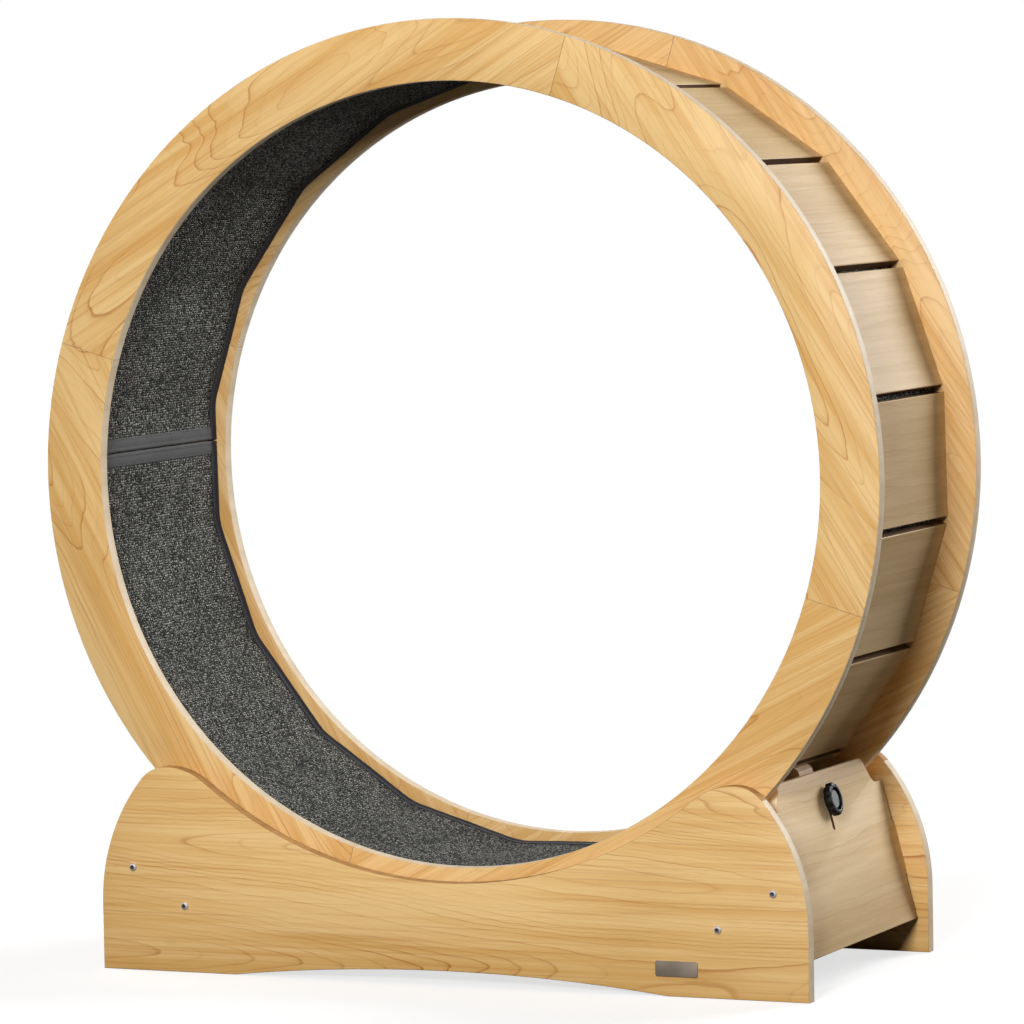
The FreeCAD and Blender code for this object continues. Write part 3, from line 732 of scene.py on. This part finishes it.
def loopPileMaterial(look):
    material, tree, shader = newMaterial("loopPile")
    weave = add(tree, "UVMap", uv_map="weave").outputs[0]
    crooked = noise(tree, weave, (45.0, 45.0, 1.0), detail=1.0)
    sway = weigh(tree, crooked, 0.0022, -0.0011)
    sway = add(tree, "CombineXYZ", {0: sway, 1: sway}).outputs[0]
    swayed = add(tree, "VectorMath", {0: weave, 1: sway}, operation="ADD").outputs[0]
    cells = stretched(tree, swayed, (1 / look["loopAlong"], 1 / look["loopAcross"], 1.0))
    loops = add(tree, "TexVoronoi", {"Vector": cells, "Scale": 1.0, "Randomness": 0.3},
                voronoi_dimensions="2D", feature="F1").outputs
    yarn = noise(tree, weave, (820.0, 430.0, 1.0), roughness=0.6)
    heather = noise(tree, weave, (520.0, 330.0, 1.0), (4.0, 9.0, 0.0), detail=1.0)
    wear = noise(tree, weave, (7.0, 12.0, 1.0), (1.0, 2.0, 0.0))
    tuft = add(tree, "SeparateColor", {0: loops["Color"]}).outputs[0]
    crown = spread(tree, loops["Distance"], 1.0, 0.0, 0.15, 0.58)
    tint = weigh(tree, spread(tree, yarn, -0.3, 1.0, 0.3, 0.7), 0.92, calc(tree, "MULTIPLY", tuft, 0.44))
    tint = weigh(tree, spread(tree, heather, -0.5, 0.5, 0.34, 0.66), 0.38, tint)
    tint = weigh(tree, spread(tree, wear, -0.5, 0.5, 0.3, 0.7), 0.10, tint)
    # the hollows between the loops are darkened towards near black: painted shade
    colour = mixColour(tree, spread(tree, crown, 0.85, 0.0, 0.0, 0.7), ramp(tree, tint, look["tones"]),
                       look["hollowShade"])
    surface(tree, shader, colour, 0.95, weigh(tree, yarn, 0.35, crown), 0.9, 0.0014, 0.15)
    return material


def tapeMaterial(name, dark, middle, light):
    material, tree, shader = newMaterial(name)
    weave = add(tree, "UVMap", uv_map="weave").outputs[0]
    ribs = add(tree, "TexWave", {"Vector": weave, "Scale": 210.0, "Distortion": 0.6, "Detail": 1.0},
               bands_direction="DIAGONAL").outputs[1]
    yarn = noise(tree, weave, (1300.0, 1300.0, 1.0))
    tone = noise(tree, weave, (22.0, 60.0, 1.0))
    factor = weigh(tree, yarn, 0.35, weigh(tree, ribs, 0.35, -0.1))
    factor = weigh(tree, tone, 0.4, factor)
    surface(tree, shader, ramp(tree, factor, [(0.0, dark), (0.5, middle), (1.0, light)]), 0.78,
            calc(tree, "ADD", ribs, yarn), 0.5, 0.0005, 0.25)
    shader.inputs["Sheen Weight"].default_value = 0.15
    return material


pileEnd = carpetLook["seamGap"] / 2


def makePile(look, randomly):
    across = evenly(-carpetSide, carpetSide, look["step"])
    cellsLong, cellsWide = look["fieldLong"], look["fieldWide"]
    swell = [[randomly.uniform(-1, 1) for y in range(cellsWide + 2)] for s in range(cellsLong + 2)]

    def unevenness(distance, sideways):
        # smooth random field on a coarse grid
        u = distance / trackLength * cellsLong
        v = (sideways / carpetSide + 1) / 2 * cellsWide
        i, j = min(int(u), cellsLong - 1), min(int(v), cellsWide - 1)
        fu, fv = u - i, v - j
        fu, fv = fu * fu * (3 - 2 * fu), fv * fv * (3 - 2 * fv)
        near = swell[i][j] * (1 - fv) + swell[i][j + 1] * fv
        far = swell[i + 1][j] * (1 - fv) + swell[i + 1][j + 1] * fv
        return (near * (1 - fu) + far * fu) * look["unevenness"]

    def section(distance):
        points = []
        for y in across:
            edge = min(1.0, (carpetSide - abs(y)) / look["calmEdge"])
            loop = randomly.uniform(-0.5, 0.5) * look["loopHeight"]
            points.append((y, (unevenness(distance, y) + loop) * edge))
        for share, h in ((1, -0.5), (1, -1), (0.5, -1), (0, -1), (-0.5, -1), (-1, -1), (-1, -0.5)):
            points.append((share * carpetSide, h * look["thickness"]))
        return points

    rows = bandRows(evenly(pileEnd, trackLength - pileEnd, look["step"]), section)
    return settle("carpetRunner", loftBand("carpetRunner", rows), [loopPileMaterial(look)],
                  "wheel", ["carpet_runner"], 80)


def makeEdgeTapes(look, tape, randomly):
    # the edge tapes take darker colours than the seam tapes, though both are one tape: painted shade
    finish = tapeMaterial("edgeTapeShadedWeave", srgb(24, 25, 31), srgb(40, 42, 52), srgb(70, 73, 86))
    stations = evenly(pileEnd, trackLength - pileEnd, tape["step"])
    back = -look["thickness"]
    pieces = []
    for side, name in ((-1, "edgeTape_front"), (1, "edgeTape_rear")):
        drift = [randomly.uniform(-1, 1) for station in stations]

        def section(distance, side=side, drift=drift):
            # over the pile from the tape's inner edge, round the folded edge and down the pile's side
            k = round((distance - pileEnd) / (trackLength - 2 * pileEnd) * (len(drift) - 1))
            loose = (drift[k] + drift[max(0, k - 1)] + drift[max(0, k - 2)]) / 3
            inner = carpetSide - tape["width"] + loose * tape["drift"]
            rise, bead = tape["rise"], tape["bead"] + loose * tape["drift"] / 2
            outer = carpetSide + tape["outside"]
            profile = [(inner, -0.0002), (inner + 0.0002, rise * 0.8), (inner + 0.0012, rise),
                       (inner + 0.005, rise * 0.86), (outer - 0.0052, rise * 1.05), (outer - 0.0034, bead),
                       (outer - 0.0014, bead * 0.92), (outer - 0.0003, bead * 0.45), (outer, -0.0012),
                       (outer, back + 0.0004), (outer - 0.0006, back + 0.0002), (outer - 0.0006, -0.0012)]
            return [(side * y, h) for y, h in profile]

        pieces.append(settle(name, loftBand("edgeTape", bandRows(stations, section)), [finish],
                             "wheel", ["carpet_bindings"], 50))
    return pieces


def makeSeamTapes(tape, randomly):
    finish = tapeMaterial("seamTapeWeave", srgb(45, 46, 48), srgb(72, 73, 74), srgb(106, 107, 108))
    inside = carpetSide - tape["width"] * 0.9
    pieces = []
    for sign, name in ((1, "seamTape_upper"), (-1, "seamTape_lower")):
        rows = []
        for y in evenly(-inside, inside, tape["step"]):
            wave = randomly.uniform(-tape["seamWave"], tape["seamWave"])
            rows.append([(trackPosition(sign * (pileEnd + s), y, h + (wave if h > 0 else 0)), y, s)
                         for s, h in tape["seamSection"]])
        pieces.append(settle(name, loftBand(name, rows), [finish], "wheel", [], 50))
    return pieces


def makeStitches(look, tape):
    # one spindle of thread for each stitch, sunk by half into the tape
    half = look["length"] / 2
    line = carpetSide - tape["width"] + look["inset"]
    places = []
    for i in range(int((trackLength - 2 * look["start"]) / look["pitch"])):
        distance = look["start"] + i * look["pitch"]
        for y in (-line, line):
            places.append(((distance - half, y), (distance + half, y), tape["rise"] * look["height"]))
    for s in (-pileEnd - look["seamRow"], pileEnd + look["seamRow"]):
        for i in range(int(2 * (line - look["seamRoom"]) / look["pitch"])):
            y = -line + look["seamInset"] + i * look["pitch"]
            places.append(((s, y - half), (s, y + half), look["seamHeight"]))
    shape = bmesh.new()
    for first, last, height in places:
        a, b = trackPosition(*first, height), trackPosition(*last, height)
        lift = -trackPoint(seamPlace + first[0])[1]
        sideways = (b - a).normalized().cross(lift).normalized()
        tips = [shape.verts.new(a), shape.verts.new(b)]
        turns = [math.tau * k / look["sides"] for k in range(look["sides"])]
        around = [(sideways * math.cos(q) + lift * math.sin(q)) * look["radius"] for q in turns]
        rings = [[shape.verts.new(a.lerp(b, share) + out) for out in around] for share in look["shoulders"]]
        for k in range(look["sides"]):
            m = (k + 1) % look["sides"]
            shape.faces.new((tips[0], rings[0][m], rings[0][k]))
            shape.faces.new((rings[0][k], rings[0][m], rings[1][m], rings[1][k]))
            shape.faces.new((rings[1][k], rings[1][m], tips[1]))
    bmesh.ops.recalc_face_normals(shape, faces=shape.faces)
    for face in shape.faces:
        face.smooth = True
    material, tree, shader = newMaterial("sewingThread")
    twist = noise(tree, add(tree, "TexCoord").outputs["Object"], scale=2600.0, detail=1.0)
    colour = mixColour(tree, twist, srgb(62, 63, 68), srgb(112, 112, 118))
    setSocket(tree, shader.inputs["Base Color"], colour)
    shader.inputs["Roughness"].default_value = 0.7
    return settle("tapeStitches", meshOf("tapeStitches", shape), [material], "wheel", [], 180)


def makeRunner(look, tape, stitches):
    randomly = random.Random(7)
    runner = makePile(look, randomly)
    pieces = makeEdgeTapes(look, tape, randomly) + makeSeamTapes(tape, randomly)
    pieces.append(makeStitches(stitches, tape))


makeRunner(carpetLook, tapeLook, stitchLook)
print("carpet made")


# metal and moulded finishes
steelLook = {"colour": srgb(186, 188, 190), "shade": srgb(132, 134, 138), "roughness": 0.32}
headSteelLook = {"colour": srgb(226, 222, 222), "shade": srgb(182, 180, 182), "roughness": 0.38}
socketShadeLook = {"colour": srgb(74, 72, 76), "shade": srgb(40, 39, 42), "roughness": 0.5}
sheetSteelLook = {"colour": srgb(168, 170, 172), "shade": srgb(120, 122, 126), "roughness": 0.44}
plateMetalLook = {"colour": srgb(142, 130, 114), "shade": srgb(116, 104, 90), "roughness": 0.5, "ease": 0.0003}
capMetalLook = {"colour": srgb(100, 104, 106), "shade": srgb(72, 76, 79), "roughness": 0.42}


def metalMaterial(name, look, brushing=(1, 1, 1), metal=1.0):
    material, tree, shader = newMaterial(name)
    place = add(tree, "TexCoord").outputs["Object"]
    brush = noise(tree, place, tuple(700.0 * share for share in brushing), detail=3.0, roughness=0.6)
    cloud = noise(tree, place, (40.0, 40.0, 40.0), detail=3.0)
    factor = weigh(tree, brush, 0.55, spread(tree, cloud, -0.15, 0.65, 0.3, 0.7))
    surface(tree, shader, mixColour(tree, factor, look["colour"], look["shade"]),
            spread(tree, brush, look["roughness"] - 0.08, look["roughness"] + 0.14), brush, 0.12, 0.0002)
    shader.inputs["Metallic"].default_value = metal
    return material


def mouldedMaterial(name, colour, worn, roughness, shine=0.5):
    material, tree, shader = newMaterial(name)
    place = add(tree, "TexCoord").outputs["Object"]
    grain = noise(tree, place, scale=2400.0)
    cloud = noise(tree, place, scale=55.0, detail=3.0)
    factor = weigh(tree, grain, 0.3, spread(tree, cloud, -0.1, 0.5, 0.35, 0.7))
    surface(tree, shader, mixColour(tree, factor, colour, worn),
            spread(tree, grain, roughness - 0.06, roughness + 0.1), grain, 0.25, 0.0002, shine)
    return material


zincSteel = metalMaterial("zincSteel", steelLook)
sheetSteel = metalMaterial("sheetSteel", sheetSteelLook, (1, 0.08, 1))
knobPlastic = mouldedMaterial("knobPlastic", srgb(6, 6, 6), srgb(12, 12, 11), 0.45, 0.22)
rollerPlastic = mouldedMaterial("rollerPlastic", srgb(52, 53, 55), srgb(80, 80, 82), 0.55)


def dress(names, material):
    for name in names:
        nodes[name].data.materials.clear()
        nodes[name].data.materials.append(material)


dress([n for n in nodes if n.startswith("roller_bracket")], sheetSteel)
dress([n for n in nodes if n.startswith("roller_bearings")], zincSteel)
dress([n for n in nodes if n.startswith("roller_") and "bracket" not in n and "bearings" not in n],
      rollerPlastic)
dress(["axle_bolts", "bracket_screws", "barrel_nuts", "brake_bolt", "brake_washer"], zincSteel)


def layeredMaterial(name, through, along):
    # edge of a layered board: thin veneers, every other one seen end on and darker
    material, tree, shader = newMaterial(name)
    place = add(tree, "TexCoord").outputs["Object"]
    depth = add(tree, "VectorMath", {0: place, 1: tuple(through)}, operation="DOT_PRODUCT").outputs["Value"]
    board = boardCoordinates(tree, along, through)
    sway = noise(tree, board, (20.0, 60.0, 60.0))
    layer = calc(tree, "FRACT", weigh(tree, depth, 330.0, calc(tree, "MULTIPLY", sway, 0.5)))
    fibre = noise(tree, board, (60.0, 900.0, 900.0), detail=3.0)
    shade = ramp(tree, layer, [(0.0, 0.75), (0.08, 0.1), (0.42, 0.0), (0.5, 0.75),
                               (0.56, 0.45), (0.92, 0.55), (1.0, 0.75)])
    shade = weigh(tree, spread(tree, fibre, -0.4, 0.4, 0.3, 0.7), 0.5, shade)
    surface(tree, shader, mixColour(tree, shade, srgb(222, 192, 166), srgb(120, 84, 56)),
            spread(tree, fibre, 0.5, 0.8), fibre, 0.3, 0.0004)
    return material


dress(["ring_dowels"], woodMaterial("dowelGrain", paleBoard, (1, 0, 0), (0, 0, 1)))
dress(["brake_block"], layeredMaterial("blockLayers", Vector(joints["brake_knob_turn"]["axis"]), (0, 1, 0)))
print("hidden pieces finished")


def turned(name, centre, axis, profile, count, shapeOf=None):
    # skin round an axis; profile rows are (along, radius), and shapeOf is applied to those with a third value
    axis = axis.normalized()
    side = axis.orthogonal().normalized()
    other = axis.cross(side)
    shape = bmesh.new()
    rings = []
    for along, radius, *shaped in profile:
        ring = []
        for k in range(count if radius else 1):
            q = math.tau * k / count
            r = radius * (shapeOf(q) if shaped else 1)
            ring.append(shape.verts.new(centre + axis * along + (side * math.cos(q) + other * math.sin(q)) * r))
        rings.append(ring)
    for a, b in zip(rings, rings[1:]):
        for k in range(count):
            m = (k + 1) % count
            corners = [a[k % len(a)], a[m % len(a)], b[m % len(b)], b[k % len(b)]]
            shape.faces.new(list(dict.fromkeys(corners))).smooth = True
    bmesh.ops.recalc_face_normals(shape, faces=shape.faces)
    return meshOf(name, shape)


def joined(name, meshes):
    shape = bmesh.new()
    for mesh in meshes:
        shape.from_mesh(mesh)
        bpy.data.meshes.remove(mesh)
    return meshOf(name, shape)


def hexagon(q):
    # how far out a hexagon of unit half width is at an angle
    third = math.tau / 6
    return 1 / math.cos((q % third) - third / 2)


boltLook = {
    "headRadius": 0.0046,
    # crown of the head, from the plate up: share of its height, share of its radius
    "crown": [(0.0, 0.96), (0.08, 1.0), (0.26, 0.985), (0.52, 0.90), (0.76, 0.74), (0.92, 0.58), (1.0, 0.50)],
    "socketHalf": 0.0023,
    "socketDepth": 0.0026,
    "socketMouth": 0.002,  # faces of the socket's painted shade lie no deeper than this under the plate's face
    "shank": 0.0030,
}


def makeJoiningBolts(look):
    faces = {-1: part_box("front_side_plate")[0].y, 1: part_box("rear_side_plate")[1].y}
    half, shank, depth = look["socketHalf"], look["shank"], look["socketDepth"]
    meshes = []
    for low, high in boltExtents:
        side = 1 if high.y > 0 else -1
        faceY = faces[side]
        centre = Vector(((low.x + high.x) / 2, faceY, (low.z + high.z) / 2))
        top = (high.y if side > 0 else -low.y) - abs(faceY)
        tail = -(abs(faceY) - (low.y if side > 0 else -high.y))
        profile = [(tail, 0), (tail, shank * 0.75), (tail + 0.0008, shank), (0.0, shank)]
        profile += [(top * up, look["headRadius"] * out) for up, out in look["crown"]]
        profile += [(top, half * 1.06, "hex"), (top - 0.0002, half, "hex"), (top - depth, half, "hex"),
                    (top - depth - 0.0005, 0)]
        meshes.append(turned("bolt", centre, Vector((0, side, 0)), profile, 36, hexagon))
    mesh = joined("joiningBolts", meshes)
    # faces inside the hex socket take the darker socket steel: painted shade of the recess
    deepest = min(abs(y) for y in faces.values()) - look["socketMouth"]
    for face in mesh.polygons:
        middle = face.center
        near = min(math.hypot(middle.x - place.x, middle.z - place.z) for place in boltPlaces)
        face.material_index = 1 if near < half * 1.04 and abs(middle.y) > deepest else 0
    headSteel = metalMaterial("headSteel", headSteelLook, metal=0.4)
    socketShadeSteel = metalMaterial("socketShadeSteel", socketShadeLook, metal=0.4)
    settle("joiningBolts", mesh, [headSteel, socketShadeSteel], "base", ["joining_bolts"], 32)


makeJoiningBolts(boltLook)


knobLook = {
    "lobes": 8,
    "lobeDepth": 0.085,  # share of the radius
    "boss": 0.0022,
    "washer": 0.0012,
    "bossRadius": 0.0100,
    "radius": 0.0185,
    "thickness": 0.0086,
    # roundings of the grip: distance from its back or its face, share of its radius
    "backRound": [(0.0, 0.90), (0.0003, 0.955), (0.0010, 0.99), (0.0018, 1.0)],
    "faceRound": [(0.0028, 1.0), (0.0016, 0.985), (0.0007, 0.945), (0.0002, 0.885)],
    "faceRadius": 0.0145,
    "faceDepth": 0.0042,
    "capGap": 0.00015,
    "capRise": 0.0003,
    "capLip": 0.0013,
    "capFloor": 0.0007,
    "discRadius": 0.0100,
    "discRise": 0.0004,  # of the disc in the cap over the bolt's end
    "ease": 0.0003,
}


def makeKnob(look):
    centre = Vector(joints["brake_knob_turn"]["pos_m"])
    axis = Vector(joints["brake_knob_turn"]["axis"])

    def lobed(q):
        dip = max(0.0, -math.cos(q * look["lobes"])) ** 1.4
        return 1 - look["lobeDepth"] * dip

    start, boss, ease = look["washer"], look["bossRadius"], look["ease"]
    rim = start + look["boss"]
    top = rim + look["thickness"]
    grip, well = look["radius"], look["faceRadius"]
    deep = top - look["faceDepth"]
    profile = [(start, 0), (start, boss * 0.97), (start + 0.0004, boss), (rim - ease, boss), (rim, boss * 1.04)]
    profile += [(rim + back, grip * share, "lobed") for back, share in look["backRound"]]
    profile += [(top - back, grip * share, "lobed") for back, share in look["faceRound"]]
    profile += [(top, grip * 0.835), (top, well * 1.02), (top - ease, well), (deep, well), (deep, 0)]
    mesh = turned("knobBody", centre, axis, profile, 128, lobed)
    settle("knobBody", mesh, [knobPlastic], "knob", ["brake_knob"], 38)

    cap = well - look["capGap"]
    lip = top + look["capRise"]
    inner = cap - look["capLip"]
    boltEnd = max((vert.co - centre).dot(axis) for vert in nodes["brake_bolt"].data.vertices)
    disc, discTop = look["discRadius"], boltEnd + look["discRise"]
    floor = deep + look["capFloor"]
    profile = [(deep, 0), (deep, cap), (lip - ease, cap), (lip, cap - ease), (lip, cap - 0.0008),
               (lip - 0.0004, inner), (floor, inner - 0.0001), (floor, disc),
               (discTop - ease, disc), (discTop, disc - ease), (discTop, 0)]
    mesh = turned("knobCap", centre, axis, profile, 96)
    for face in mesh.polygons:
        reach = (face.center - centre).dot(axis)
        away = (face.center - centre - axis * reach).length
        dark = reach < discTop - 0.0002 or (reach < lip - 0.0006 and away > disc)
        face.material_index = 1 if dark else 0
    capMetal = metalMaterial("capMetal", capMetalLook, metal=0.35)
    settle("knobCap", mesh, [capMetal, knobPlastic], "knob", ["knob_cap"], 30)


makeKnob(knobLook)


def makeNamePlate():
    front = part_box("name_plate")[0].y
    finish = metalMaterial("namePlateMetal", plateMetalLook, (0.05, 1, 1), 0.4)

    def isOutline(edge):
        return (all(abs(vert.co.y - front) < flush for vert in edge.verts)
                and any(abs(face.normal.y) < 0.5 for face in edge.link_faces))

    easedBoard("namePlate", "name_plate", plateMetalLook["ease"], isOutline, lambda normal: True,
               [finish], "base")


makeNamePlate()
print("fasteners, knob and name plate made")


# floor, backdrop and light
stageLook = {
    "floorColour": (0.40, 0.40, 0.40, 1),
    "bounceColour": (0.12, 0.12, 0.12, 1),  # what the floor gives back to the object
    "clearFrom": 0.75,  # metres from the middle where the floor starts to fade into the backdrop
    "clearTo": 1.9,
    "lift": 0.71,
    "radius": 30.0,
    "drop": 0.0004,  # of the floor under the feet
}
lampLooks = [
    {"name": "key", "azimuth": 11.5, "elevation": 15.5, "distance": 5.5, "size": 1.2, "power": 226.0},
    {"name": "top", "azimuth": 4, "elevation": 52, "distance": 5.0, "size": 1.6, "power": 30.0},
    {"name": "left", "azimuth": -102, "elevation": 24, "distance": 4.5, "size": 2.4, "power": 70.0},
    {"name": "back", "azimuth": 147, "elevation": 21, "distance": 4.5, "size": 2.4, "power": 174.0},
]
worldLook = {"strength": 0.024, "colour": (1.0, 0.76, 0.45, 1)}


def makeStage(look):
    shape = bmesh.new()
    bmesh.ops.create_circle(shape, cap_ends=True, radius=look["radius"], segments=96)
    mesh = meshOf("floor", shape)
    floor = bpy.data.objects.new("floor", mesh)
    floor.location = (0, 0, -look["drop"])
    collection.objects.link(floor)
    material, tree, shader = newMaterial("floorPaper")
    tree.nodes.remove(shader)
    place = add(tree, "TexCoord").outputs["Object"]
    reach = add(tree, "VectorMath", {0: place}, operation="LENGTH").outputs["Value"]
    fade = add(tree, "MapRange", {0: reach, 1: look["clearFrom"], 2: look["clearTo"]},
               interpolation_type="SMOOTHSTEP").outputs[0]
    paper = add(tree, "BsdfDiffuse", {"Color": look["floorColour"]}).outputs[0]
    dull = add(tree, "BsdfDiffuse", {"Color": look["bounceColour"]}).outputs[0]
    lift = add(tree, "Emission", {"Color": (1, 1, 1, 1), "Strength": look["lift"]}).outputs[0]
    near = add(tree, "AddShader", {0: paper, 1: lift}).outputs[0]
    white = add(tree, "Emission", {"Color": (1, 1, 1, 1), "Strength": 1.0}).outputs[0]
    blended = add(tree, "MixShader", {0: fade, 1: near, 2: white}).outputs[0]
    seen = add(tree, "LightPath").outputs["Is Camera Ray"]
    output = tree.nodes["Material Output"]
    tree.links.new(add(tree, "MixShader", {0: seen, 1: dull, 2: blended}).outputs[0], output.inputs[0])
    mesh.materials.append(material)


def makeWorld(look):
    world = bpy.data.worlds.new("studio")
    bpy.context.scene.world = world
    world.use_nodes = True
    tree = world.node_tree
    ground = tree.nodes["Background"]
    rays = add(tree, "LightPath").outputs
    bright = calc(tree, "MAXIMUM", rays["Is Camera Ray"], rays["Is Glossy Ray"])
    bright = calc(tree, "MAXIMUM", bright, rays["Is Transmission Ray"])
    setSocket(tree, ground.inputs[0], mixColour(tree, bright, look["colour"], (1, 1, 1, 1)))
    setSocket(tree, ground.inputs[1], spread(tree, bright, look["strength"], 1.0))


def makeLamps(looks):
    for look in looks:
        lamp = bpy.data.lights.new(look["name"], "AREA")
        lamp.shape = "DISK"
        lamp.size = look["size"]
        lamp.energy = look["power"]
        holder = bpy.data.objects.new(look["name"], lamp)
        turn, rise = math.radians(look["azimuth"]), math.radians(look["elevation"])
        away = Vector((math.sin(turn) * math.cos(rise), -math.cos(turn) * math.cos(rise), math.sin(rise)))
        aim = (-away).to_track_quat("-Z", "Y").to_matrix().to_4x4()
        holder.matrix_world = Matrix.Translation(wheelCentre + away * look["distance"]) @ aim
        collection.objects.link(holder)


makeStage(stageLook)
makeWorld(worldLook)
makeLamps(lampLooks)
bpy.context.scene.view_settings.view_transform = "Standard"
print("stage and lamps set")
